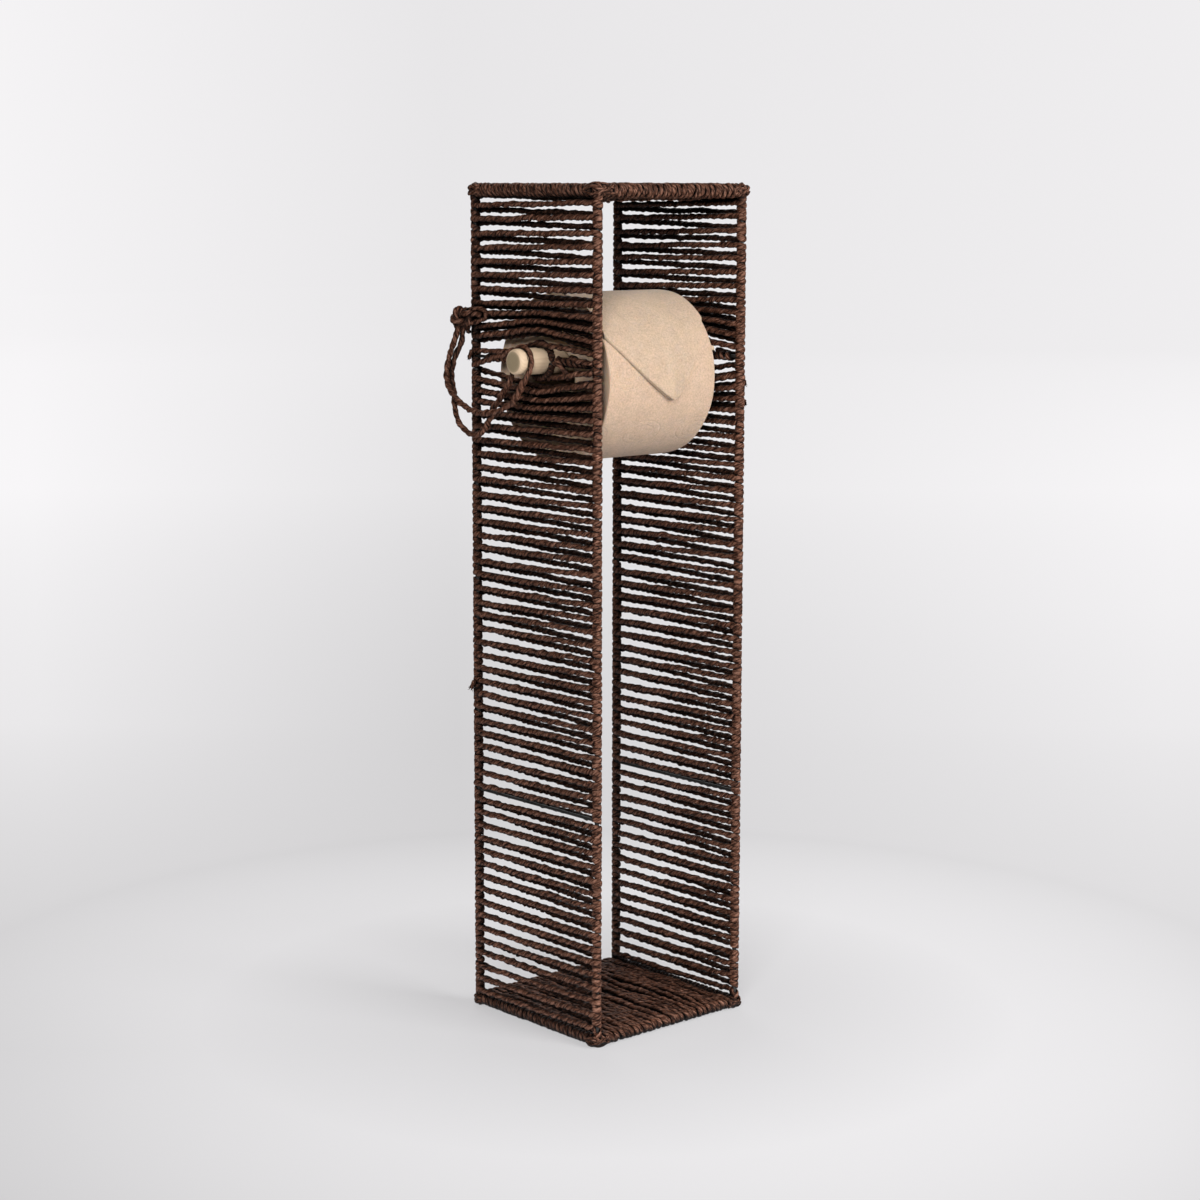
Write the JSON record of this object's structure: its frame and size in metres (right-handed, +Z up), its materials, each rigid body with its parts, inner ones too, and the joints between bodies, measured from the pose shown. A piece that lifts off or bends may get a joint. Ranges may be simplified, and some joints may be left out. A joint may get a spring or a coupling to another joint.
{
  "type": "toilet roll holder",
  "caption": "Tall free-standing wire frame wound with brown paper cord, with a tethered wooden dowel that carries a toilet roll between its two sides.",
  "frame": {"origin": "centre of the footprint, on the surface that the stand stands on", "axes": "+Z up along the posts, -Y toward the open front, X along the dowel, with the tethered end of the dowel at -X"},
  "size_m": [0.185, 0.1498, 0.6],
  "materials": {
    "frame_metal": "satin",
    "paper_cord": "matte",
    "dowel_wood": "satin",
    "tissue": "matte",
    "card_tube": "matte"
  },
  "bodies": {
    "stand": {"post_front_left": "frame_metal", "post_front_right": "frame_metal", "post_back_left": "frame_metal", "post_back_right": "frame_metal", "bottom_rod_left": "frame_metal", "bottom_rod_right": "frame_metal", "bottom_rod_front": "frame_metal", "bottom_rod_back": "frame_metal", "top_rod_left": "frame_metal", "top_rod_right": "frame_metal", "top_rod_front": "frame_metal", "top_rod_back": "frame_metal", "cross_rod_left_low": "frame_metal", "cross_rod_left_mid": "frame_metal", "cross_rod_right_low": "frame_metal", "cross_rod_right_mid": "frame_metal", "carrier_rod_left": "frame_metal", "carrier_rod_right": "frame_metal", "carrier_ring_left": "frame_metal", "carrier_ring_right": "frame_metal", "ring_whipping_left": "paper_cord", "ring_whipping_right": "paper_cord", "carrier_whipping_left": "paper_cord", "carrier_whipping_right": "paper_cord", "left_winding_lower": "paper_cord", "left_winding_middle": "paper_cord", "left_winding_ring": "paper_cord", "left_winding_upper": "paper_cord", "right_winding_lower": "paper_cord", "right_winding_middle": "paper_cord", "right_winding_ring": "paper_cord", "right_winding_upper": "paper_cord", "base_winding_left": "paper_cord", "base_winding_right": "paper_cord", "top_winding_left": "paper_cord", "top_winding_right": "paper_cord", "edge_winding_bottom_left": "paper_cord", "edge_winding_bottom_right": "paper_cord", "edge_winding_top_left": "paper_cord", "edge_winding_top_right": "paper_cord", "cord_ends": "paper_cord", "tether_knot": "paper_cord", "tether_loop": "paper_cord"},
    "dowel": {"dowel": "dowel_wood"},
    "roll": {"roll_paper": "tissue", "roll_core": "card_tube", "roll_end_flap": "tissue"}
  },
  "joints": [
    {"name": "dowel_slide", "type": "slide", "parent": "stand", "child": "dowel", "axis": [-1, 0, 0], "range_m": [0, 0.12], "deforming": ["tether_loop"]},
    {"name": "roll_spin", "type": "hinge", "parent": "stand", "child": "roll", "pos_m": [0, -0.006, 0.4666], "axis": [1, 0, 0], "continuous": true}
  ]
}
